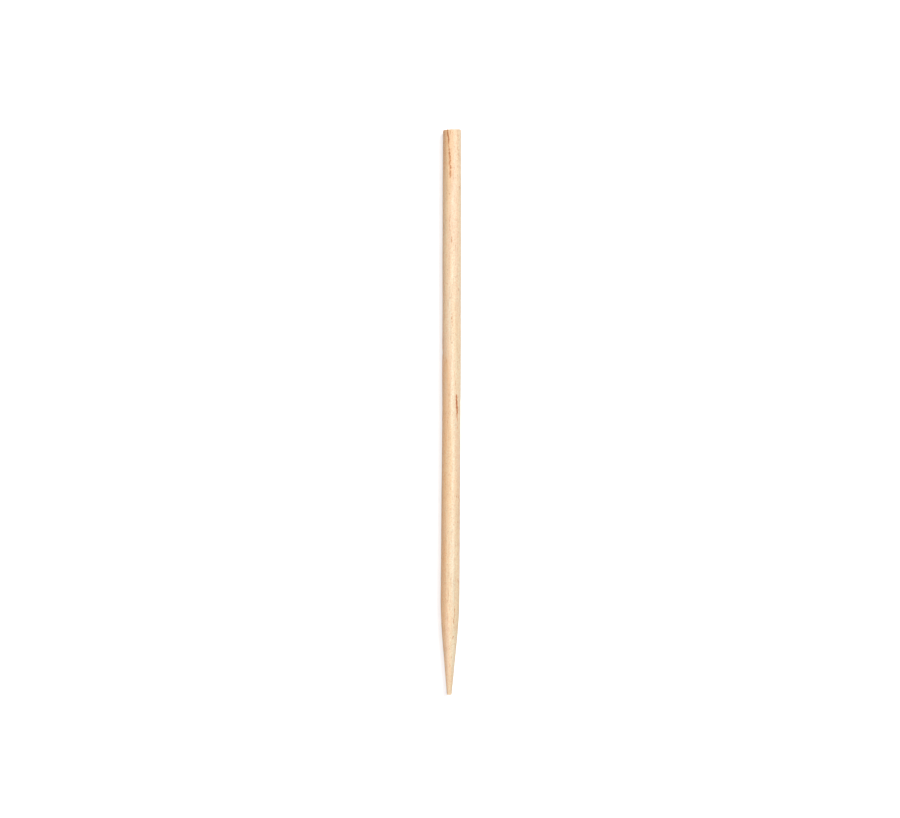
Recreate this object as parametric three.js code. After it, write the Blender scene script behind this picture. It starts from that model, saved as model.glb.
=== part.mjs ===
// A blunt-pointed wooden skewer: a round dowel of pale wood, sawn square at one end and sharpened to a
// blunt point at the other. It is cut from one piece, so it is one solid of revolution.
//
// Millimetres, +Z up. The skewer lies on its side along Y, as it would on a table, with the point
// towards -Y. The origin is on the table, below the middle of the skewer's length.

import * as THREE from "three";

// Driving dimensions
const LENGTH = 150; // sawn end to blunt tip
const SHAFT_DIAMETER = 4.9; // a 5 mm dowel, sanded
const TAPER_LENGTH = 20.5; // from the tip's flat back to the full diameter
const TIP_DIAMETER = 1.25; // where the taper would meet the tip's flat if that edge were sharp
const BUTT_EDGE_RADIUS = 0.15; // the saw's edge, rubbed down
const TIP_EDGE_RADIUS = 0.15;
const SHOULDER_RADIUS = 30; // the soft turn from the shaft into the taper

// Fineness of the faceted surface
const SIDES = 64; // flats round the skewer, a multiple of four
const EDGE_STEPS = 5; // segments in each rounded edge
const SHOULDER_STEPS = 6;

const WOOD_COLOUR = 0xecd0a6;
const WOOD_ROUGHNESS = 0.6;

const shaftRadius = SHAFT_DIAMETER / 2;
const tipRadius = TIP_DIAMETER / 2;

// Points of the arc that rounds a corner of an outline, from the side of `before` to that of `after`.
function roundedCorner(before, corner, after, radius, steps) {
  const back = before.clone().sub(corner).normalize();
  const ahead = after.clone().sub(corner).normalize();
  const halfAngle = Math.acos(back.dot(ahead)) / 2;
  const start = corner.clone().addScaledVector(back, radius / Math.tan(halfAngle));
  const centre = back
    .clone()
    .add(ahead)
    .setLength(radius / Math.sin(halfAngle))
    .add(corner);
  const turn = (Math.PI - 2 * halfAngle) * Math.sign(ahead.cross(back));
  return Array.from({ length: steps + 1 }, (_, i) =>
    start.clone().rotateAround(centre, (turn * i) / steps),
  );
}

// Half of the skewer's lengthwise section: distance from the axis against height above the tip.
function halfSection() {
  const tipCentre = new THREE.Vector2(0, 0);
  const tipEdge = new THREE.Vector2(tipRadius, 0);
  const shoulder = new THREE.Vector2(shaftRadius, TAPER_LENGTH);
  const buttEdge = new THREE.Vector2(shaftRadius, LENGTH);
  const buttCentre = new THREE.Vector2(0, LENGTH);
  return [
    tipCentre,
    ...roundedCorner(tipCentre, tipEdge, shoulder, TIP_EDGE_RADIUS, EDGE_STEPS),
    ...roundedCorner(tipEdge, shoulder, buttEdge, SHOULDER_RADIUS, SHOULDER_STEPS),
    ...roundedCorner(shoulder, buttEdge, buttCentre, BUTT_EDGE_RADIUS, EDGE_STEPS),
    buttCentre,
  ];
}

// The solid turns about Y. It starts half a side round, so that one flat, and not an edge between two,
// faces straight down and lies on the table.
function skewer() {
  const sideAngle = (2 * Math.PI) / SIDES;
  const geometry = new THREE.LatheGeometry(halfSection(), SIDES, sideAngle / 2);
  const wood = new THREE.MeshStandardMaterial({
    color: WOOD_COLOUR,
    roughness: WOOD_ROUGHNESS,
    metalness: 0,
  });
  const mesh = new THREE.Mesh(geometry, wood);
  mesh.name = "skewer";
  const axisHeight = shaftRadius * Math.cos(sideAngle / 2);
  mesh.position.set(0, -LENGTH / 2, axisHeight);
  return mesh;
}

const part = new THREE.Group();
part.add(skewer());

export default part;
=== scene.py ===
# A blunt-pointed wooden skewer of pale birch, lying on a white table and seen from straight above.
#
# The skewer is one closed mesh of rings round its axis, and it stands for the plain solid in the
# frame. Its grain relief, pores and stains are worked out here. Each vertex also carries them as
# numbers, which the wood's material reads, so that colour and relief agree. Places along the skewer
# are counted from its blunt tip, and places round it from its upper side, with +X positive.

import math

import bpy
import numpy as np
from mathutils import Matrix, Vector


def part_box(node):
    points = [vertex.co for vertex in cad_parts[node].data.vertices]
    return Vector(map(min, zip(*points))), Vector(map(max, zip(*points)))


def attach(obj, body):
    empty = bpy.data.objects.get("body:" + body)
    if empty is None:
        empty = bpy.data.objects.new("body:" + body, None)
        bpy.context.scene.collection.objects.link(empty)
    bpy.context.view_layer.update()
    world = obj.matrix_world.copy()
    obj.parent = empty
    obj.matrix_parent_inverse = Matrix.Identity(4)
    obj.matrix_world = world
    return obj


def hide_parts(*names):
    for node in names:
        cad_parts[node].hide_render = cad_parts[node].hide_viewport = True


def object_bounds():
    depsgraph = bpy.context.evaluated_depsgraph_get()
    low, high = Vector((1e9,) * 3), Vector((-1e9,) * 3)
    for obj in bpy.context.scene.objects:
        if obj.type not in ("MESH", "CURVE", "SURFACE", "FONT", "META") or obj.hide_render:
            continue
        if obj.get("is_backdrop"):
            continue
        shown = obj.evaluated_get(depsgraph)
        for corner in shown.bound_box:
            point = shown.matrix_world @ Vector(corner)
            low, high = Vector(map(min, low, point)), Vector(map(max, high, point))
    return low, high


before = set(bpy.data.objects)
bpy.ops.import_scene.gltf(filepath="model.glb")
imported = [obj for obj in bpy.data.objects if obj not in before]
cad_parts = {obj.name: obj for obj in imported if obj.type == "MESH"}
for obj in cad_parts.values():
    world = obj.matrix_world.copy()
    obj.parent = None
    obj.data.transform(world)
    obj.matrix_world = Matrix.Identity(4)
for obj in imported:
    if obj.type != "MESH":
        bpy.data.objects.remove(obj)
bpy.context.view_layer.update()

MM = 0.001

# Form, from the frame's box and the skewer's own sizes
low_corner, high_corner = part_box("skewer")
LENGTH = high_corner.y - low_corner.y
RADIUS = (high_corner.x - low_corner.x) / 2
AXIS_HEIGHT = (high_corner.z + low_corner.z) / 2
TIP_Y = low_corner.y
TAPER_LENGTH = 20.5 * MM
TAPER_START_RADIUS = 0.625 * MM  # where the taper would meet the tip's flat without its round edge
TIP_EDGE = 0.12 * MM
BUTT_EDGE = 0.1 * MM
SHOULDER_BLEND = 0.12 * MM  # how far the soft turn into the taper lies below the sharp one

# Fineness of the mesh
SIDES = 216
RING_STEP = 0.38 * MM
TAPER_RING_STEP = 0.3 * MM
TAPER_RINGS_PAST_SHOULDER = 2 * MM  # how far the taper's closer rings go on into the shaft
FACE_RINGS = 22
TIP_FACE_RINGS = 6
EDGE_RINGS = 5

# The grids on which relief is drawn before the rings take it: one unrolled along and round the
# skewer, and one across an end face
GRID_STEP = 0.2 * MM
GRID_ROWS = int(LENGTH / GRID_STEP) + 2
SIDE_WIDTH = 2 * math.pi * RADIUS / SIDES
FACE_GRID_STEP = 0.06 * MM
FACE_GRID = 100

SEED = 41

# The photograph's frame, and where the skewer lies in it
PHOTO_WIDTH = 900
PIXELS_PER_MM = 3.764
LENS_MM = 100
SENSOR_MM = 36
SKEWER_RIGHT_OF_MIDDLE_PX = 1.06
SKEWER_BELOW_MIDDLE_PX = 3.42
SKEWER_LEAN_DEG = 0.276

# The slight bow of the shaft in the table's plane, and how its thickness wanders: place from the tip
# and change of radius
BOW = 0.17 * MM
THICKNESS_PLACES = np.array([0, 12, 27, 38, 51, 66, 76, 84, 94, 105, 116, 124, 131, 150]) * MM
THICKNESS_CHANGES = np.array([0, 3, 8, 6, 7, 3, 0, 5, 4, 0, 5, 1, 3, -3]) / 100 * MM

# How far out of square the sawn end is, as a slope towards the right, and how deep that reaches
SAW_LEAN = 0.045
SAW_LEAN_REACH = 1 * MM


def smooth_step(value, start, end):
    """0 up to start, 1 from end on, and a smooth rise between them."""
    share = np.clip((value - start) / (end - start), 0, 1)
    return share * share * (3 - 2 * share)


# Form of the skewer

def side_radius(along):
    """The radius of the shaft and the taper at these places, without relief."""
    taper = TAPER_START_RADIUS + (RADIUS - TAPER_START_RADIUS) * along / TAPER_LENGTH
    reach = 4 * SHOULDER_BLEND
    share = np.clip(0.5 + 0.5 * (RADIUS - taper) / reach, 0, 1)
    blended = RADIUS + (taper - RADIUS) * share - reach * share * (1 - share)
    return blended + np.interp(along, THICKNESS_PLACES, THICKNESS_CHANGES)


def ring_rows():
    """Rows of (place along, radius, share of end face), from the tip's centre to the sawn end's."""
    slope = (RADIUS - TAPER_START_RADIUS) / TAPER_LENGTH
    tilt = math.atan(slope)
    tip_flat = TAPER_START_RADIUS + slope * TIP_EDGE - TIP_EDGE * math.hypot(1, slope)
    rows = [(0, radius, 1) for radius in np.linspace(0, tip_flat, TIP_FACE_RINGS + 1)[1:]]
    for share in np.arange(1, EDGE_RINGS + 1) / EDGE_RINGS:
        turn = share * (math.pi / 2 - tilt)
        along = TIP_EDGE * (1 - math.cos(turn))
        rows.append((along, tip_flat + TIP_EDGE * math.sin(turn), 1 - share))
    taper_end = TAPER_LENGTH + TAPER_RINGS_PAST_SHOULDER
    taper = np.arange(rows[-1][0] + TAPER_RING_STEP, taper_end, TAPER_RING_STEP)
    shaft = np.arange(taper[-1] + RING_STEP, LENGTH - BUTT_EDGE - RING_STEP / 3, RING_STEP)
    rows += [(along, side_radius(along), 0) for along in (*taper, *shaft)]
    butt_radius = side_radius(LENGTH)
    for share in np.arange(0, EDGE_RINGS + 1) / EDGE_RINGS:
        turn = share * math.pi / 2
        along = LENGTH - BUTT_EDGE * (1 - math.sin(turn))
        rows.append((along, butt_radius - BUTT_EDGE * (1 - math.cos(turn)), share))
    inward = np.linspace(butt_radius - BUTT_EDGE, 0, FACE_RINGS + 1)[1:-1]
    rows += [(LENGTH, radius, 1) for radius in inward]
    return np.array(rows)


# Relief and marks of the wood

def smooth_noise(random, shape, steps, sizes):
    """Random relief on a grid of this shape and these steps, with features of about these sizes."""
    spectrum = np.fft.rfft2(random.normal(size=shape))
    first = np.fft.fftfreq(shape[0], steps[0])[:, None] * sizes[0]
    second = np.fft.rfftfreq(shape[1], steps[1])[None, :] * sizes[1]
    field = np.fft.irfft2(spectrum * np.exp(-2 * math.pi**2 * (first**2 + second**2)), shape)
    return field / field.std()


def wood_noise(random, sizes):
    """Relief of the side, with features of about this length and width: rows run along it."""
    return smooth_noise(random, (GRID_ROWS, SIDES), (GRID_STEP, SIDE_WIDTH), sizes)


def face_noise(random, x, z, sizes):
    """Relief of an end face at these places from its middle, with features of about these sizes."""
    field = smooth_noise(random, (FACE_GRID, FACE_GRID), (FACE_GRID_STEP, FACE_GRID_STEP), sizes)
    first = x / FACE_GRID_STEP + FACE_GRID / 2
    second = z / FACE_GRID_STEP + FACE_GRID / 2
    row, column = first.astype(int), second.astype(int)
    near = field[row, column] * (row + 1 - first) + field[row + 1, column] * (first - row)
    far = field[row, column + 1] * (row + 1 - first) + field[row + 1, column + 1] * (first - row)
    return near * (column + 1 - second) + far * (second - column)


def at_rings(field, along):
    """The unrolled grid's values at the rings' places."""
    place = np.clip(along, 0, LENGTH) / GRID_STEP
    row = place.astype(int)
    share = (place - row)[:, None]
    return field[row] * (1 - share) + field[row + 1] * share


# Pores: the drift is how far one strays from the grain, as a slope
PORE_COUNT = 1500
PORE_LENGTHS = (0.8 * MM, 5.0 * MM)
PORE_SHORTENING = (0.4, 1)
PORE_HALF_WIDTH = 0.055 * MM
PORE_STRENGTHS = (0.25, 1)
PORE_DRIFT = 0.03


def pores(random):
    """Short open vessels that run with the grain: 0 off them, up to 1 in the deepest."""
    field = np.zeros((GRID_ROWS, SIDES))
    places = np.arange(GRID_ROWS) * GRID_STEP
    for _ in range(PORE_COUNT):
        middle = random.uniform(0, LENGTH)
        length = random.uniform(*PORE_LENGTHS) * random.uniform(*PORE_SHORTENING)
        column = random.integers(SIDES)
        strength = random.uniform(*PORE_STRENGTHS)
        drift = random.uniform(-PORE_DRIFT, PORE_DRIFT)
        inside = np.flatnonzero(abs(places - middle) < length / 2)
        from_middle = places[inside] - middle
        profile = 1 - (2 * from_middle / length) ** 2
        for side in (-1, 0, 1, 2):
            offset = side * SIDE_WIDTH - drift * from_middle
            value = strength * profile * np.exp(-((offset / PORE_HALF_WIDTH) ** 2))
            target = (inside, (column + side) % SIDES)
            field[target] = np.maximum(field[target], value)
    return field


# Each stain is a line of points: place from the sawn end, place to the right of the centre line as
# seen from above, half width and strength there. Places and half widths are in millimetres.
STAINS = {
    "long streak at the sawn end": [
        (-0.3, -1.24, 0.24, 0.6), (1.2, -1.10, 0.25, 0.75), (3.3, -0.92, 0.24, 0.75),
        (4.2, -0.84, 0.22, 0.35), (5.2, -0.72, 0.25, 0.65), (6.8, -0.64, 0.3, 0.6),
        (8.2, -0.56, 0.36, 0.55), (9.4, -0.48, 0.34, 0.5), (10.2, -0.46, 0.32, 0.55),
        (12.2, -0.42, 0.3, 0.55), (12.9, -0.46, 0.22, 0.45), (13.2, -0.55, 0.12, 0.1),
    ],
    # Painted shade: both flanks darkened near the sawn end
    "shade on its left": [
        (-0.3, -2.1, 0.8, 0.3), (4.0, -2.1, 0.8, 0.24), (10.0, -2.1, 0.8, 0.18),
        (16.0, -2.1, 0.7, 0.0),
    ],
    "shade on its right": [
        (-0.3, 1.6, 0.7, 0.18), (7.0, 1.6, 0.7, 0.22), (10.0, 1.6, 0.7, 0.17), (15.0, 1.6, 0.5, 0.0),
    ],
    "short streak beside it": [
        (0.1, -0.37, 0.16, 0.4), (1.7, -0.34, 0.14, 0.25), (2.4, -0.33, 0.12, 0.1),
    ],
    "fleck beside it": [(9.2, 0.55, 0.14, 0.1), (10.0, 0.52, 0.15, 0.28), (11.2, 0.5, 0.14, 0.1)],
    "faint flecks below it": [
        (16.0, -0.66, 0.14, 0.1), (17.2, -0.62, 0.15, 0.25), (18.0, -0.6, 0.12, 0.05),
        (22.2, -0.60, 0.14, 0.15), (23.5, -0.58, 0.16, 0.35), (25.0, -0.62, 0.14, 0.25),
        (27.6, -0.5, 0.13, 0.2),
    ],
    "curl": [
        (28.2, -0.22, 0.15, 0.25), (28.9, 0.0, 0.15, 0.5), (29.8, 0.04, 0.15, 0.5),
        (30.6, -0.2, 0.14, 0.2),
    ],
    "fleck above the middle": [
        (48.4, -0.06, 0.14, 0.15), (49.8, 0.08, 0.16, 0.55), (51.2, 0.16, 0.15, 0.5),
        (51.7, 0.18, 0.12, 0.1), (52.0, 0.22, 0.14, 0.4), (52.6, 0.24, 0.12, 0.15),
    ],
    "top of the flame": [(60.2, -1.5, 0.2, 0.1), (61.0, -1.45, 0.25, 0.25), (62.6, -1.5, 0.2, 0.05)],
    "line above the dark streak": [
        (62.6, 0.72, 0.13, 0.1), (65.2, 0.80, 0.15, 0.2), (67.5, 1.08, 0.16, 0.28),
        (69.7, 1.33, 0.15, 0.22),
    ],
    "dark streak on the right": [
        (69.9, 1.36, 0.18, 0.3), (70.6, 1.41, 0.26, 0.85), (72.0, 1.46, 0.3, 0.9),
        (73.6, 1.50, 0.32, 0.95), (74.9, 1.56, 0.27, 0.9), (75.8, 1.62, 0.22, 0.5),
        (78.4, 1.72, 0.2, 0.4), (80.2, 1.74, 0.2, 0.1),
    ],
    "line at the right edge": [
        (118.8, 2.10, 0.15, 0.3), (119.8, 2.13, 0.15, 0.6), (122.0, 2.12, 0.14, 0.2),
    ],
    "line above the taper": [
        (125.8, 1.26, 0.13, 0.15), (127.4, 1.25, 0.15, 0.5), (129.6, 1.12, 0.15, 0.4),
        (130.6, 1.08, 0.17, 0.6), (131.4, 1.1, 0.13, 0.1), (132.4, 1.14, 0.13, 0.25),
        (133.0, 1.14, 0.12, 0.05),
    ],
    "spot on the taper": [
        (133.9, 1.0, 0.14, 0.2), (134.5, 0.94, 0.18, 0.55), (135.2, 0.82, 0.16, 0.3),
    ],
    "fleck on the taper": [
        (139.0, 0.58, 0.13, 0.15), (139.8, 0.54, 0.15, 0.45), (140.6, 0.5, 0.13, 0.1),
    ],
    "fleck near the tip": [
        (141.8, 0.04, 0.13, 0.15), (142.3, 0.02, 0.15, 0.35), (142.9, 0.1, 0.13, 0.15),
    ],
}

# How a stain's line fades in at both ends and wobbles: how far, at what two lengths, and the second
# one's start in radians
LINE_FADE = 0.3 * MM
LINE_WOBBLE = 0.05 * MM
LINE_WOBBLE_LENGTHS = (0.41 * MM, 0.67 * MM)
LINE_WOBBLE_START = 1.3

# Stains that the photograph doesn't show: places are shares of a stain's length, angles in radians
HIDDEN_SPREAD = 1.2  # how far they lie from straight down
HIDDEN_STAIN_COUNT = 9
HIDDEN_STAIN_STARTS = (0.1, 0.9)
HIDDEN_STAIN_LENGTHS = (1.5 * MM, 9 * MM)
HIDDEN_STAIN_HALF_WIDTHS = (0.12 * MM, 0.24 * MM)
HIDDEN_STAIN_PLACES = np.array([0, 0.2, 0.5, 0.8, 1])
HIDDEN_STAIN_STRENGTHS = np.array([0.1, 0.6, 0.4, 0.8, 0.1])
HIDDEN_STAIN_WEAKENING = (0.4, 1)
HIDDEN_STAIN_DRIFT = 0.03

# Specks: place from the sawn end, place to the right, both in millimetres, and strength
SPECKS = (
    (5.2, 2.03, 0.45), (10.0, 2.1, 0.35), (15.4, 2.02, 0.75), (24.5, 1.97, 0.4), (27.2, 1.8, 0.4),
    (42.4, 1.87, 0.65), (49.1, 2.08, 0.5), (60.5, 2.0, 0.4), (63.6, 1.75, 0.35), (97.3, 1.58, 0.5),
    (97.5, 2.05, 0.6), (104.0, 1.97, 0.45), (110.1, 2.0, 0.5), (112.4, 2.02, 0.6),
    (119.4, 2.05, 0.5),
)
SPECK_HALF_LENGTH = 0.38 * MM
SPECK_HALF_WIDTH = 0.17 * MM
HIDDEN_SPECK_COUNT = 40
HIDDEN_SPECK_STRENGTHS = (0.2, 0.7)


def line_mark(along, around, radius, places, angles, half_widths, strengths):
    """How strongly a line with the grain marks each vertex of the rings."""
    fade_in = smooth_step(along, places[0], places[0] + LINE_FADE)
    fade_out = 1 - smooth_step(along, places[-1] - LINE_FADE, places[-1])
    first, second = LINE_WOBBLE_LENGTHS
    wobble = LINE_WOBBLE * (np.sin(along / first) + np.sin(along / second + LINE_WOBBLE_START))
    middle = np.interp(along, places, angles) + wobble / radius
    strength = np.interp(along, places, strengths) * fade_in * fade_out
    half_width = np.interp(along, places, half_widths)
    distance = (around[None, :] - middle[:, None]) * radius[:, None]
    return strength[:, None] * np.exp(-((distance / half_width[:, None]) ** 2))


def spot_mark(along, around, radius, place, angle, half_length, half_width):
    """How strongly a round or oval spot marks each vertex of the rings, 1 at its middle."""
    lengthwise = (along - place)[:, None] / half_length
    crosswise = (around[None, :] - angle) * radius[:, None] / half_width
    return np.exp(-(lengthwise**2) - crosswise**2)


def angle_at(place, to_right):
    """The angle round the skewer of what is seen that far to the right of the centre line."""
    return np.arcsin(np.clip(to_right / side_radius(place), -1, 1))


def hidden_angle(random):
    """An angle on the skewer's underside or flanks."""
    angle = math.pi + random.uniform(-HIDDEN_SPREAD, HIDDEN_SPREAD)
    return angle if angle < math.pi else angle - 2 * math.pi


def hidden_angles(random, count):
    """Such angles for the points of one stain, which drift from one point to the next."""
    return hidden_angle(random) + np.cumsum(random.normal(size=count)) * HIDDEN_STAIN_DRIFT


def stains(random, along, around, radius):
    """The brown mineral streaks and specks, and the painted shade on both flanks near the sawn end: 0
    off them, up to 1 in the darkest.
    """
    field = np.zeros((len(along), len(around)))
    for points in STAINS.values():
        from_end, to_right, half_widths, strengths = np.array(points[::-1]).T
        places = LENGTH - from_end * MM
        angles = angle_at(places, to_right * MM)
        found = line_mark(along, around, radius, places, angles, half_widths * MM, strengths)
        field = np.maximum(field, found)
    for _ in range(HIDDEN_STAIN_COUNT):
        length = random.uniform(*HIDDEN_STAIN_LENGTHS)
        places = random.uniform(*HIDDEN_STAIN_STARTS) * LENGTH + HIDDEN_STAIN_PLACES * length
        angles = hidden_angles(random, len(places))
        half_widths = np.full(len(places), random.uniform(*HIDDEN_STAIN_HALF_WIDTHS))
        strengths = HIDDEN_STAIN_STRENGTHS * random.uniform(*HIDDEN_STAIN_WEAKENING)
        found = line_mark(along, around, radius, places, angles, half_widths, strengths)
        field = np.maximum(field, found)
    return np.maximum(field, specks(random, along, around, radius))


def specks(random, along, around, radius):
    """The brown specks, those in the photograph and those out of its sight."""
    spots = []
    for from_end, to_right, strength in SPECKS:
        place = LENGTH - from_end * MM
        spots.append((place, angle_at(place, to_right * MM), strength))
    for _ in range(HIDDEN_SPECK_COUNT):
        place = random.uniform(0, LENGTH)
        spots.append((place, hidden_angle(random), random.uniform(*HIDDEN_SPECK_STRENGTHS)))
    field = np.zeros((len(along), len(around)))
    for place, angle, strength in spots:
        spot = spot_mark(along, around, radius, place, angle, SPECK_HALF_LENGTH, SPECK_HALF_WIDTH)
        field = np.maximum(field, strength * spot)
    return field


# The warm zones on the left: the wood's own flame, and a warm darker tone along the left flank that is
# partly wood and partly painted shade. Place from the sawn end and place of the right edge, both in
# millimetres, and strength
WARM_ZONES = {
    "flame, and left flank partly painted shade": [
        (0, -1.0, 0.8), (10, -1.0, 0.6), (16, -0.9, 0.4), (24, -0.9, 0.25), (58.5, -1.5, 0.25),
        (60.2, -1.35, 0.5), (61.5, -0.85, 0.58), (64, -0.68, 0.55), (65.6, -0.58, 0.52),
        (67, -0.4, 0.48), (76, -0.36, 0.48), (79, -0.8, 0.62), (82.5, -1.2, 0.75),
        (104, -1.1, 0.8), (124, -1.0, 0.8), (130, -1.1, 0.7), (137, -1.2, 0.5), (150, -1.6, 0.3),
    ],
    "deeper tone at the flame's left": [
        (0, -1.4, 0), (59.5, -1.4, 0), (62, -1.35, 0.74), (78, -1.25, 0.74), (84, -1.25, 0),
        (150, -1.4, 0),
    ],
    "paler wood beside them": [
        (0, 0.6, 0.4), (12, 0.5, 0.35), (20, 0.0, 0), (76, -0.3, 0), (80, 0.2, 0.35),
        (98, 0.2, 0.3), (106, -0.1, 0), (150, -0.1, 0),
    ],
}
WARM_EDGE_BLUR = 0.2 * MM
WARM_EDGE_WOBBLE = 0.08 * MM
WARM_EDGE_SIZES = (3 * MM, 0.3 * MM)
WARM_FADE = (-0.3, 0.1)  # cosines from straight up, between which the zones end on the underside


def warm_zones(random, along, around):
    """The orange-brown zones on the left, partly painted shade along the left flank: 0 off them, up to
    1 in the warmest.
    """
    places = (LENGTH - along) / MM
    wobble = WARM_EDGE_WOBBLE * at_rings(wood_noise(random, WARM_EDGE_SIZES), along)
    to_right = RADIUS * np.sin(around)[None, :]
    upper = smooth_step(np.cos(around)[None, :], *WARM_FADE)
    field = np.zeros((len(along), len(around)))
    for points in WARM_ZONES.values():
        from_end, right_edge, strength = np.array(points).T
        edge = np.interp(places, from_end, right_edge)[:, None] * MM + wobble
        crosswise = 1 - smooth_step(to_right, edge - WARM_EDGE_BLUR, edge + WARM_EDGE_BLUR)
        found = np.interp(places, from_end, strength)[:, None] * crosswise * upper
        field = np.maximum(field, found)
    return field


# Pale streaks on the upper side, mostly painted highlight and painted sheen where the lamps gleam on
# the wood, with a few lighter flecks of the wood itself: place from the sawn end at both ends, place
# to the right, half width, all in millimetres, and strength. The shares are those of its width and
# strength at both ends and midway.
PALE_STREAKS_AND_HIGHLIGHTS = (
    (6.0, 9.4, 0.78, 0.3, 0.7), (16.0, 22.0, 0.22, 0.25, 0.7), (32.0, 46.0, 0.15, 0.35, 0.6),
    (38.0, 60.0, -0.6, 0.5, 0.7), (55.5, 62.0, 0.33, 0.25, 1.0), (60.0, 82.0, 0.25, 0.5, 0.9),
    (78.0, 100.0, 0.65, 0.35, 0.6), (82.0, 87.0, 0.65, 0.25, 0.9), (91.0, 98.5, 0.52, 0.3, 1.0),
    (99.0, 128.0, 0.6, 0.5, 1.0), (72.2, 73.6, 1.97, 0.14, 1.0), (74.1, 75.5, 1.97, 0.14, 1.0),
    (18.0, 66.0, 2.0, 0.7, 0.28), (112.0, 131.0, 0.85, 0.45, 1.0), (127.0, 149.9, 0.8, 0.9, 0.7),
)
PALE_WIDTH_SHARES = np.array([0.4, 1, 0.4])
PALE_STRENGTH_SHARES = np.array([0.3, 1, 0.3])


def pale_streaks_and_highlights(along, around, radius):
    """Streaks of lighter wood and painted highlight on the upper side: 0 off them, up to 1 on them."""
    field = np.zeros((len(along), len(around)))
    for start, end, to_right, half_width, strength in PALE_STREAKS_AND_HIGHLIGHTS:
        places = LENGTH - np.array([end, (start + end) / 2, start]) * MM
        angles = angle_at(places, to_right * MM)
        half_widths = PALE_WIDTH_SHARES * half_width * MM
        found = line_mark(along, around, radius, places, angles, half_widths, PALE_STRENGTH_SHARES)
        field = np.maximum(field, strength * found)
    return field


# Small dents: place from the sawn end, place to the right, half length, half width and depth, all in
# millimetres
DENTS = (
    (59.2, -2.5, 0.75, 0.5, 0.11),
    (73.0, 1.98, 0.35, 0.12, 0.04),
    (74.9, 1.98, 0.3, 0.12, 0.04),
    (148.9, -0.5, 0.35, 0.2, 0.05),
)


def dents(along, around, radius):
    """How deep the dents lie at each vertex of the rings."""
    depth = np.zeros((len(along), len(around)))
    for from_end, to_right, half_length, half_width, deep in DENTS:
        place = LENGTH - from_end * MM
        angle = angle_at(place, to_right * MM)
        dent = spot_mark(along, around, radius, place, angle, half_length * MM, half_width * MM)
        depth = np.maximum(depth, deep * MM * dent)
    return depth


# Relief of the side: the length and width of its features, and how far they stand out
FIBRE_SIZES = (0.9 * MM, 0.05 * MM)
FIBRE_RELIEF = 0.0035 * MM
STREAK_SIZES = (6 * MM, 0.11 * MM)
STREAK_RELIEF = 0.006 * MM
BROAD_SIZES = (16 * MM, 0.8 * MM)
BROAD_RELIEF = 0.016 * MM
PORE_DEPTH = 0.015 * MM
STAIN_DEPTH = 0.012 * MM

# Relief of the end faces: their grain, the saw's marks and the torn rim
END_SIZES = (0.09 * MM, 0.09 * MM)
END_RELIEF = 0.009 * MM
SAW_SIZES = (0.1 * MM, 2 * MM)
SAW_RELIEF = 0.007 * MM
RIM_SIZES = (0.5 * MM, 0.12 * MM)
RIM_RELIEF = 0.012 * MM
RIM_REACH = 0.35 * MM


def end_relief(random, radius, around, near_rim):
    """How far an end face stands out at each vertex of the rings."""
    x = radius[:, None] * np.sin(around)
    z = radius[:, None] * np.cos(around)
    grain = face_noise(random, x, z, END_SIZES)
    saw_marks = face_noise(random, x, z, SAW_SIZES)
    rim = at_rings(wood_noise(random, RIM_SIZES), np.full(1, LENGTH / 2))
    return END_RELIEF * grain + SAW_RELIEF * saw_marks + RIM_RELIEF * rim * near_rim


def skewer_mesh():
    """The rings' places, the vertices, and each mark's values on the rings and at the two centres."""
    random = np.random.default_rng(SEED)
    along, radius, end_share = ring_rows().T
    around = -math.pi + 2 * math.pi * np.arange(SIDES) / SIDES
    side_share = 1 - end_share[:, None]
    near_rim = np.exp(-(((radius - side_radius(LENGTH)) / RIM_REACH) ** 2))[:, None]

    fibres = at_rings(wood_noise(random, FIBRE_SIZES), along)
    streaks = at_rings(wood_noise(random, STREAK_SIZES), along)
    broad = at_rings(wood_noise(random, BROAD_SIZES), along)
    pore = at_rings(pores(random), along)
    stain = stains(random, along, around, radius)
    # Warm zones: the flame, and on the left flank partly painted shade
    warm = warm_zones(random, along, around)
    # Lighter streaks, mostly painted highlight
    pale = pale_streaks_and_highlights(along, around, radius)
    relief = FIBRE_RELIEF * fibres + STREAK_RELIEF * streaks + BROAD_RELIEF * broad
    relief -= PORE_DEPTH * pore + STAIN_DEPTH * stain + dents(along, around, radius)
    outward = np.where(along > LENGTH / 2, 1, -1)[:, None]
    end_shift = outward * end_share[:, None] * end_relief(random, radius, around, near_rim)

    moved_radius = radius[:, None] + relief * side_share
    lean_share = smooth_step(along, LENGTH - SAW_LEAN_REACH, LENGTH)[:, None]
    lean = SAW_LEAN * lean_share * radius[:, None] * np.sin(around)[None, :]
    bow = BOW * (np.sin(math.pi * along / LENGTH) - 2 / math.pi)[:, None]
    x = bow + moved_radius * np.sin(around)[None, :]
    y = TIP_Y + along[:, None] + end_shift + lean
    z = AXIS_HEIGHT + moved_radius * np.cos(around)[None, :]
    vertices = np.stack([x, y, z], axis=-1).reshape(-1, 3)
    centres = [(bow[0, 0], TIP_Y, AXIS_HEIGHT), (bow[-1, 0], TIP_Y + LENGTH, AXIS_HEIGHT)]
    vertices = np.vstack([vertices, centres])

    marks = {
        "pore": (pore * side_share, 0),
        "stain": (stain * np.maximum(side_share, near_rim), 0),
        "warm": (warm * side_share, 0),
        # pale: lighter streaks, mostly painted highlight
        "pale": (pale * side_share, 0),
        "streak": (streaks * side_share, 0),
        "broad": (broad * side_share, 0),
        "end_grain": (np.repeat(end_share[:, None], SIDES, 1), 1),
    }
    return along, vertices, marks


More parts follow.
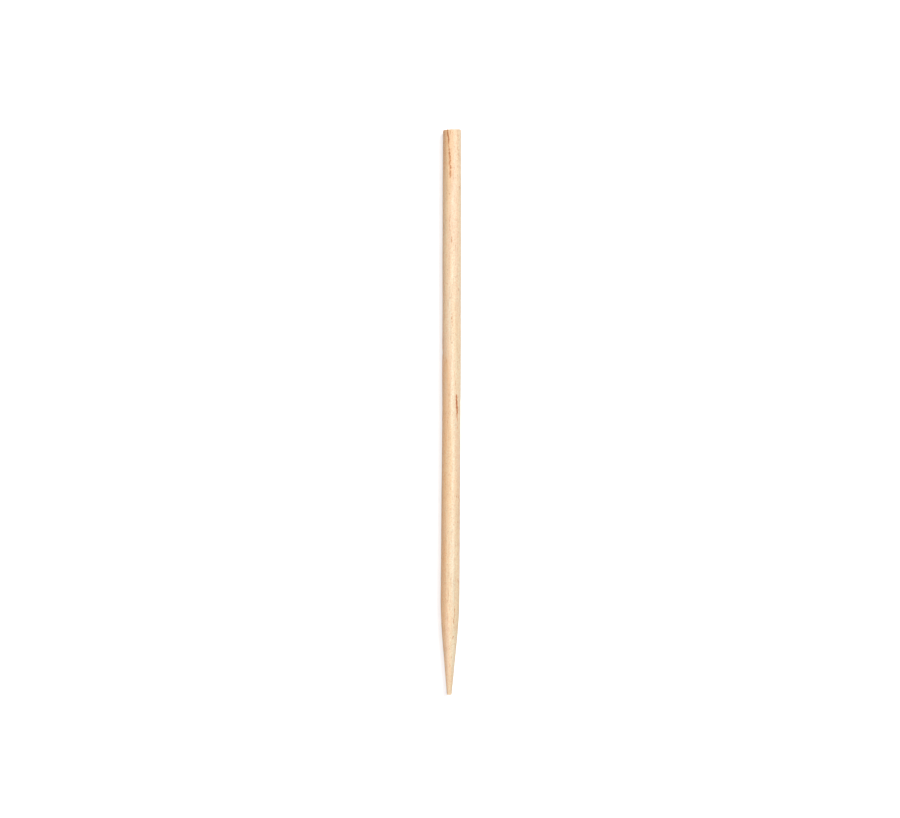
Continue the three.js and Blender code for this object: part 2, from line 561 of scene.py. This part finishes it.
def ring_faces(ring_count):
    """Quads between the rings and triangles at the two centres, each as corner indices."""
    here = np.arange(SIDES)
    after = (here + 1) % SIDES
    quads = []
    for ring in range(ring_count - 1):
        near, far = ring * SIDES, (ring + 1) * SIDES
        quads.append(np.stack([near + here, near + after, far + after, far + here], axis=-1))
    tip, butt = ring_count * SIDES, ring_count * SIDES + 1
    last = (ring_count - 1) * SIDES
    tip_fan = np.stack([np.full(SIDES, tip), after, here], axis=-1)
    butt_fan = np.stack([np.full(SIDES, butt), last + here, last + after], axis=-1)
    return np.concatenate(quads), tip_fan, butt_fan


# The map for baking: the side is cut into three strips, unrolled one above the other, with the two
# end faces beside each other above them. It is as high as it is wide.
MAP_WIDTH = 53.6 * MM
MAP_GAP = 0.5 * MM
MAP_STRIPS = 3
STRIP_LENGTH = LENGTH / MAP_STRIPS
STRIP_HEIGHT = 2 * math.pi * RADIUS
END_FACES_MIDDLE = MAP_STRIPS * (STRIP_HEIGHT + MAP_GAP) + RADIUS + MAP_GAP


def map_places(mesh, along):
    """Fills the mesh's bake map, corner by corner."""
    vertex = np.empty(len(mesh.loops), np.int32)
    mesh.loops.foreach_get("vertex_index", vertex)
    start = np.empty(len(mesh.polygons), np.int32)
    total = np.empty(len(mesh.polygons), np.int32)
    mesh.polygons.foreach_get("loop_start", start)
    mesh.polygons.foreach_get("loop_total", total)
    face = np.repeat(np.arange(len(start)), total)

    # A face that crosses the seam has its far corners past the last column instead of at the first
    ring = np.minimum(vertex // SIDES, len(along) - 1)
    column = vertex % SIDES
    first_ring = np.minimum.reduceat(ring, start)[face]
    last_column = np.maximum.reduceat(column, start)[face]
    column = np.where((column == 0) & (last_column == SIDES - 1), SIDES, column)

    # Each face lies whole in the strip of its first ring
    strip = np.clip((along[first_ring] / STRIP_LENGTH).astype(int), 0, MAP_STRIPS - 1)
    across = column / SIDES * STRIP_HEIGHT + strip * (STRIP_HEIGHT + MAP_GAP)
    uv = np.stack([along[ring] - strip * STRIP_LENGTH, across], axis=-1)

    places = np.empty(len(mesh.vertices) * 3)
    mesh.vertices.foreach_get("co", places)
    places = places.reshape(-1, 3)[vertex]
    on_tip = first_ring < TIP_FACE_RINGS - 1
    on_butt = first_ring >= len(along) - FACE_RINGS
    for chosen, middle in ((on_tip, RADIUS), (on_butt, 4 * RADIUS)):
        uv[chosen, 0] = places[chosen, 0] + middle
        uv[chosen, 1] = places[chosen, 2] - AXIS_HEIGHT + END_FACES_MIDDLE
    uv = (uv + MAP_GAP) / MAP_WIDTH
    layer = mesh.uv_layers.new(name="OFBake")
    layer.data.foreach_set("uv", uv.astype(np.float32).ravel())


def make_skewer(material):
    along, vertices, marks = skewer_mesh()
    quads, tip_fan, butt_fan = ring_faces(len(along))
    mesh = bpy.data.meshes.new("skewer_wood")
    faces = quads.tolist() + tip_fan.tolist() + butt_fan.tolist()
    mesh.from_pydata(vertices.tolist(), [], faces)
    mesh.polygons.foreach_set("use_smooth", np.ones(len(mesh.polygons), bool))
    for name, (field, at_centres) in marks.items():
        values = np.append(field.ravel(), [at_centres, at_centres]).astype(np.float32)
        mesh.attributes.new(name, "FLOAT", "POINT").data.foreach_set("value", values)
    map_places(mesh, along)
    mesh.materials.append(material)
    mesh.update()
    piece = bpy.data.objects.new("skewer_wood", mesh)
    bpy.context.scene.collection.objects.link(piece)
    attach(piece, "root")
    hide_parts("skewer")


# Materials

def tone(red, green, blue):
    """A colour as a screen shows it, 0 to 255, in the linear form that nodes take."""
    def linear(value):
        share = value / 255
        return share / 12.92 if share <= 0.04045 else ((share + 0.055) / 1.055) ** 2.4
    return (linear(red), linear(green), linear(blue), 1.0)


# Cream of the pale streaks, mostly painted highlight
CREAM_WOOD_AND_HIGHLIGHT = tone(255, 240, 210)
PALE_WOOD = tone(253, 227, 190)
LATE_WOOD = tone(247, 206, 160)
# Warm tone of the flame, and of the left flank where it is partly painted shade
WARM_WOOD = tone(247, 195, 140)
PINK_WOOD = tone(250, 214, 184)
STAIN_ORANGE = tone(220, 150, 100)
STAIN_BROWN = tone(168, 92, 52)
PORE_BROWN = tone(200, 142, 94)
END_WOOD = tone(248, 208, 164)

# How much of its own colour the wood keeps in a light and in a dark fleck
LIGHT_FLECK = (1.01, 1.09, 1.14, 1.0)
DARK_FLECK = (0.97, 0.86, 0.78, 1.0)


class Graph:
    """A node tree, with a short call for each kind of node that the materials use."""

    # Places of the colour sockets among the Mix node's sockets, which share their names
    MIX_FIRST, MIX_SECOND, MIX_RESULT = 6, 7, 2

    def __init__(self, tree):
        self.tree = tree
        tree.nodes.clear()

    def add(self, kind, inputs=None, **settings):
        """A node with these settings. Each input is a value or a socket to link."""
        node = self.tree.nodes.new(kind)
        for name, value in settings.items():
            setattr(node, name, value)
        for key, value in (inputs or {}).items():
            if isinstance(value, bpy.types.NodeSocket):
                self.tree.links.new(value, node.inputs[key])
            else:
                node.inputs[key].default_value = value
        return node

    def math(self, operation, *values, clamp=False):
        inputs = dict(enumerate(values))
        return self.add("ShaderNodeMath", inputs, operation=operation, use_clamp=clamp).outputs[0]

    def scaled(self, value, amount, base):
        """base, plus this much of the value."""
        return self.math("MULTIPLY_ADD", value, amount, base)

    def swing(self, value, amount, base):
        """base, plus this much of how far the value is from one half."""
        return self.scaled(self.math("SUBTRACT", value, 0.5), amount, base)

    def vector(self, operation, *values):
        inputs = dict(enumerate(values))
        return self.add("ShaderNodeVectorMath", inputs, operation=operation).outputs[0]

    def mark(self, name):
        """A number that the mesh's vertices carry."""
        return self.add("ShaderNodeAttribute", attribute_name=name).outputs["Fac"]

    def noise(self, place, fineness, detail=2.0, roughness=0.5):
        """Noise about one half, with this many features to the millimetre along X, Y and Z."""
        inputs = {
            "Vector": self.vector("MULTIPLY", place, fineness),
            "Scale": 1.0,
            "Detail": detail,
            "Roughness": roughness,
        }
        return self.add("ShaderNodeTexNoise", inputs).outputs["Fac"]

    def spread(self, value, start, end, low=0.0, high=1.0):
        """The value from start to end, as a smooth change from low to high."""
        inputs = {"Value": value, "From Min": start, "From Max": end, "To Min": low, "To Max": high}
        node = self.add("ShaderNodeMapRange", inputs, interpolation_type="SMOOTHSTEP")
        return node.outputs["Result"]

    def mix(self, share, first, second):
        inputs = {"Factor": share, self.MIX_FIRST: first, self.MIX_SECOND: second}
        return self.add("ShaderNodeMix", inputs, data_type="RGBA").outputs[self.MIX_RESULT]

    def multiply(self, colour, other):
        """The colour times another colour, or times a number."""
        inputs = {"Factor": 1.0, self.MIX_FIRST: colour, self.MIX_SECOND: other}
        node = self.add("ShaderNodeMix", inputs, data_type="RGBA", blend_type="MULTIPLY")
        return node.outputs[self.MIX_RESULT]


# Fineness of the wood's noises: features to the millimetre along X, Y and Z
FIBRES = (9.0, 0.7, 9.0)
FLECKS = (4.5, 2.6, 4.5)
DOTS = (4.4, 1.6, 4.4)
LUMPS = (1.8, 1.5, 1.8)
MOTTLE = (0.9, 0.12, 0.9)
BLUSH = (0.5, 0.03, 0.5)
LAYER_WAVES = (0.05, 0.03, 0.05)
BLUSH_SHIFT = (40.0, 0.0, 0.0)  # keeps the blush from following the other noises

# The tree's yearly layers, in millimetres: the pith beside and below the skewer, the width of a
# layer, how far it waves, and the shares of a year in which the late wood sets in and ends
PITH_PLACE = (-31.0, 0.0, -24.0)
YEAR_WIDTH = 1.9
LAYER_WAVINESS = 3.0
LATE_START = (0.35, 0.93)
LATE_END = (0.96, 1.0)

# How much of each tone enters the clear wood, and between which values of its noise it sets in
LATE_SHARE = 0.45
PINK_RISE = (0.42, 0.7)
PINK_SHARE = 0.55
CREAM_AND_HIGHLIGHT_SHARE = 0.9
WARM_RISE = (0.2, 0.6)
WARM_SHARES = (0.55, 0.95)
FLECK_RISE = (0.3, 0.7)
END_SHARE = 0.7

# How much the grain lightens and darkens the wood
FIBRE_LIGHT = 0.14
MOTTLE_LIGHT = 0.16
STREAK_LIGHT = 0.014
BROAD_LIGHT = 0.018

# Pores and dots on the side, and vessels and layers where the end grain is cut
PORE_SHARE = 0.5
DOT_RISE = (0.68, 0.82)
DOT_SHARE = 0.36
VESSEL_RISE = (0.56, 0.7)
VESSEL_SHARE = 0.5
CUT_LAYER_SHARE = 0.35

# Stains: how unevenly their lumps take the colour, how torn and how soft their edges are, and at what
# strength they turn orange and then brown
LUMP_RISE = (0.25, 0.6)
LUMP_STRENGTHS = (0.6, 1.15)
STAIN_TEAR = 0.7
STAIN_EDGE = (0.02, 0.2)
ORANGE_RISE = (0.02, 0.6)
ORANGE_SHARE = 0.95
BROWN_RISE = (0.35, 1.05)
BROWN_SHARE = 0.9

# Surface of the wood
WOOD_ROUGHNESS = 0.5
FIBRE_ROUGHNESS = 0.3
END_ROUGHNESS = 0.2
PORE_ROUGHNESS = 0.15
BUMP_STRENGTH = 0.6
BUMP_DEPTH = 0.05 * MM
SPECULAR_LEVEL = 0.5


def growth_layers(graph, place):
    """Late wood: rises slowly through each year's layer and drops at its end."""
    waves = graph.noise(place, LAYER_WAVES, detail=1.0)
    flat = graph.vector("MULTIPLY", place, (1.0, 0.0, 1.0))
    inputs = {0: flat, 1: PITH_PLACE}
    from_pith = graph.add("ShaderNodeVectorMath", inputs, operation="DISTANCE").outputs["Value"]
    wavy = graph.scaled(waves, LAYER_WAVINESS, from_pith)
    year = graph.math("FRACT", graph.math("DIVIDE", wavy, YEAR_WIDTH))
    rise = graph.spread(year, *LATE_START)
    drop = graph.spread(year, *LATE_END, 1.0, 0.0)
    return graph.math("MULTIPLY", rise, drop)


def clear_wood(graph, place, late, mottle, flecks):
    """The colour of wood without pores and stains: its tones, with a painted highlight and partly
    painted shade among them, and the flecks in them.
    """
    blush = graph.noise(graph.vector("ADD", place, BLUSH_SHIFT), BLUSH, detail=1.0)
    colour = graph.mix(graph.math("MULTIPLY", late, LATE_SHARE), PALE_WOOD, LATE_WOOD)
    colour = graph.mix(graph.spread(blush, *PINK_RISE, 0.0, PINK_SHARE), colour, PINK_WOOD)
    # Cream where the pale streaks lie: mostly painted highlight
    colour = graph.mix(graph.math("MULTIPLY", graph.mark("pale"), CREAM_AND_HIGHLIGHT_SHARE), colour, CREAM_WOOD_AND_HIGHLIGHT)
    uneven = graph.spread(mottle, *WARM_RISE, *WARM_SHARES)
    # Warm tone of the flame, and on the left flank partly painted shade
    colour = graph.mix(graph.math("MULTIPLY", graph.mark("warm"), uneven), colour, WARM_WOOD)
    fleck = graph.mix(graph.spread(flecks, *FLECK_RISE), LIGHT_FLECK, DARK_FLECK)
    return graph.multiply(colour, fleck)


def grain_light(graph, fibres, mottle):
    """How light the grain makes the wood, about 1."""
    light = graph.swing(fibres, FIBRE_LIGHT, 1.0)
    light = graph.swing(mottle, MOTTLE_LIGHT, light)
    light = graph.scaled(graph.mark("streak"), STREAK_LIGHT, light)
    return graph.scaled(graph.mark("broad"), BROAD_LIGHT, light)


def with_pores(graph, colour, place, fibres, late, end_grain):
    """The colour with its open vessels: pores and dots on the side, rings and vessels on the ends."""
    dots = graph.spread(graph.noise(place, DOTS, detail=0.0), *DOT_RISE, 0.0, DOT_SHARE)
    colour = graph.mix(graph.scaled(graph.mark("pore"), PORE_SHARE, dots), colour, PORE_BROWN)
    vessels = graph.spread(fibres, *VESSEL_RISE, 0.0, VESSEL_SHARE)
    cut = graph.math("MAXIMUM", vessels, graph.math("MULTIPLY", late, CUT_LAYER_SHARE))
    return graph.mix(graph.math("MULTIPLY", end_grain, cut), colour, PORE_BROWN)


def with_stains(graph, colour, place, fibres, flecks):
    """The colour with the streaks, specks and painted shade in it, uneven along them and torn at their
    edges.
    """
    stain = graph.mark("stain")
    lumps = graph.noise(place, LUMPS, detail=1.0)
    uneven = graph.math("MULTIPLY", stain, graph.spread(lumps, *LUMP_RISE, *LUMP_STRENGTHS))
    fibre_tear = graph.math("SUBTRACT", fibres, 0.5)
    fleck_tear = graph.math("SUBTRACT", flecks, 0.5)
    torn = graph.math("ADD", fibre_tear, fleck_tear)
    strength = graph.scaled(torn, STAIN_TEAR, uneven)
    strength = graph.math("MULTIPLY", strength, graph.spread(stain, *STAIN_EDGE))
    orange = graph.spread(strength, *ORANGE_RISE, 0.0, ORANGE_SHARE)
    brown = graph.spread(strength, *BROWN_RISE, 0.0, BROWN_SHARE)
    return graph.mix(brown, graph.mix(orange, colour, STAIN_ORANGE), STAIN_BROWN)


def wood_material():
    """Bare birch: pale, with faint growth layers, fine fibres, pores and brown stains."""
    material = bpy.data.materials.new("birch")
    material.use_nodes = True
    graph = Graph(material.node_tree)
    object_place = graph.add("ShaderNodeTexCoord").outputs["Object"]
    place = graph.vector("MULTIPLY", object_place, (1 / MM, 1 / MM, 1 / MM))
    fibres = graph.noise(place, FIBRES, detail=3.0, roughness=0.6)
    flecks = graph.noise(place, FLECKS, detail=2.0, roughness=0.6)
    mottle = graph.noise(place, MOTTLE, detail=2.0)
    late = growth_layers(graph, place)
    end_grain = graph.mark("end_grain")

    colour = clear_wood(graph, place, late, mottle, flecks)
    colour = graph.mix(graph.math("MULTIPLY", end_grain, END_SHARE), colour, END_WOOD)
    colour = graph.multiply(colour, grain_light(graph, fibres, mottle))
    colour = with_pores(graph, colour, place, fibres, late, end_grain)
    colour = with_stains(graph, colour, place, fibres, flecks)

    roughness = graph.swing(fibres, FIBRE_ROUGHNESS, WOOD_ROUGHNESS)
    roughness = graph.scaled(end_grain, END_ROUGHNESS, roughness)
    roughness = graph.math("MULTIPLY_ADD", graph.mark("pore"), PORE_ROUGHNESS, roughness, clamp=True)
    height = graph.math("ADD", flecks, fibres)
    bump_inputs = {"Strength": BUMP_STRENGTH, "Distance": BUMP_DEPTH, "Height": height}
    bump = graph.add("ShaderNodeBump", bump_inputs)
    shader = graph.add(
        "ShaderNodeBsdfPrincipled",
        {
            "Base Color": colour,
            "Roughness": roughness,
            "Specular IOR Level": SPECULAR_LEVEL,
            "Normal": bump.outputs["Normal"],
        },
    )
    graph.add("ShaderNodeOutputMaterial", {"Surface": shader.outputs["BSDF"]})
    return material


# The table, the light and the camera

TABLE_SIZE = 6.0
TABLE_GAP = 0.01 * MM
TABLE_TO_CAMERA = tone(236, 236, 237)
TABLE_TO_LIGHT = tone(150, 149, 148)
TABLE_LIFT = 0.58  # white that the camera sees in the table whatever light falls on it
PLAIN_WHITE_RISE = (0.16, 0.3)  # metres from the middle between which it turns plain white


def seen_directly(graph):
    """1 for what the camera sees, straight or through gloss or glass, and 0 for what lights things."""
    path = graph.add("ShaderNodeLightPath")
    seen = graph.math("MAXIMUM", path.outputs["Is Camera Ray"], path.outputs["Is Glossy Ray"])
    return graph.math("MAXIMUM", seen, path.outputs["Is Transmission Ray"])


def table_material():
    """White to the camera, with the skewer's shadow, and greyer where it throws light back."""
    material = bpy.data.materials.new("white_table")
    material.use_nodes = True
    graph = Graph(material.node_tree)
    seen = seen_directly(graph)
    colour = graph.mix(seen, TABLE_TO_LIGHT, TABLE_TO_CAMERA)
    matt = graph.add("ShaderNodeBsdfDiffuse", {"Color": colour})
    lift = graph.add("ShaderNodeEmission", {"Strength": graph.math("MULTIPLY", seen, TABLE_LIFT)})
    near = graph.add("ShaderNodeAddShader", {0: matt.outputs[0], 1: lift.outputs[0]})
    far = graph.add("ShaderNodeEmission", {"Strength": seen})
    place = graph.add("ShaderNodeTexCoord").outputs["Object"]
    distance = graph.add("ShaderNodeVectorMath", {0: place}, operation="LENGTH").outputs["Value"]
    share = graph.spread(distance, *PLAIN_WHITE_RISE)
    both = graph.add("ShaderNodeMixShader", {0: share, 1: near.outputs[0], 2: far.outputs[0]})
    graph.add("ShaderNodeOutputMaterial", {"Surface": both.outputs[0]})
    return material


def make_table(height):
    half = TABLE_SIZE / 2
    corners = [(-half, -half, 0), (half, -half, 0), (half, half, 0), (-half, half, 0)]
    mesh = bpy.data.meshes.new("table")
    mesh.from_pydata(corners, [], [(0, 1, 2, 3)])
    mesh.materials.append(table_material())
    table = bpy.data.objects.new("table", mesh)
    table.location.z = height
    bpy.context.scene.collection.objects.link(table)
    table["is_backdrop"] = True


SKY_SHARE = 0.18
SKY_TINT = (1.0, 0.95, 0.94, 1.0)


def make_world():
    """White to the camera, and a dim even light on the skewer."""
    world = bpy.data.worlds.new("white_room")
    world.use_nodes = True
    bpy.context.scene.world = world
    graph = Graph(world.node_tree)
    seen = seen_directly(graph)
    colour = graph.mix(seen, SKY_TINT, tone(255, 255, 255))
    strength = graph.scaled(seen, 1 - SKY_SHARE, SKY_SHARE)
    sky = graph.add("ShaderNodeBackground", {"Color": colour, "Strength": strength})
    graph.add("ShaderNodeOutputWorld", {"Surface": sky.outputs[0]})


# Each lamp: its lean to the right of straight up in degrees, how far it is towards the sawn end as a
# share of its height, size of the soft box, share of full light and colour. Together with the sky's
# share they light an upward face to about 1, at which a colour renders as written.
LAMP_DISTANCE = 1.1
LAMPS = {
    "key": (23, 0.35, 0.45, 0.775, (0.96, 1.0, 1.0)),
    "left": (-50, -0.8, 0.7, 0.355, (1.0, 0.91, 0.9)),
    "right": (62, 0.8, 0.6, 0.115, (0.93, 0.89, 1.0)),
}


def make_lamps():
    for name, (lean, towards_end, size, share, colour) in LAMPS.items():
        lamp = bpy.data.lights.new(name, "AREA")
        lamp.shape = "SQUARE"
        lamp.size = size
        lamp.color = colour
        lamp.energy = share * (math.pi * LAMP_DISTANCE) ** 2
        holder = bpy.data.objects.new(name, lamp)
        angle = math.radians(lean)
        pointing = Vector((math.sin(angle), towards_end, math.cos(angle))).normalized()
        holder.location = pointing * LAMP_DISTANCE
        holder.rotation_euler = pointing.to_track_quat("Z", "Y").to_euler()
        holder.visible_camera = False
        bpy.context.scene.collection.objects.link(holder)


def make_camera():
    """Straight above the skewer, at the distance where the lens gives the photograph's scale."""
    data = bpy.data.cameras.new("camera")
    data.lens = LENS_MM
    data.sensor_width = SENSOR_MM
    camera = bpy.data.objects.new("camera", data)
    seen_width = PHOTO_WIDTH / PIXELS_PER_MM * MM
    distance = seen_width * LENS_MM / SENSOR_MM
    camera.location = (
        -SKEWER_RIGHT_OF_MIDDLE_PX / PIXELS_PER_MM * MM,
        SKEWER_BELOW_MIDDLE_PX / PIXELS_PER_MM * MM,
        AXIS_HEIGHT + distance,
    )
    camera.rotation_euler = (0, 0, math.radians(SKEWER_LEAN_DEG))
    bpy.context.scene.collection.objects.link(camera)
    bpy.context.scene.camera = camera


make_camera()
make_world()
make_lamps()
make_skewer(wood_material())
make_table(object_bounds()[0][2] - TABLE_GAP)
bpy.context.scene.view_settings.view_transform = "Standard"
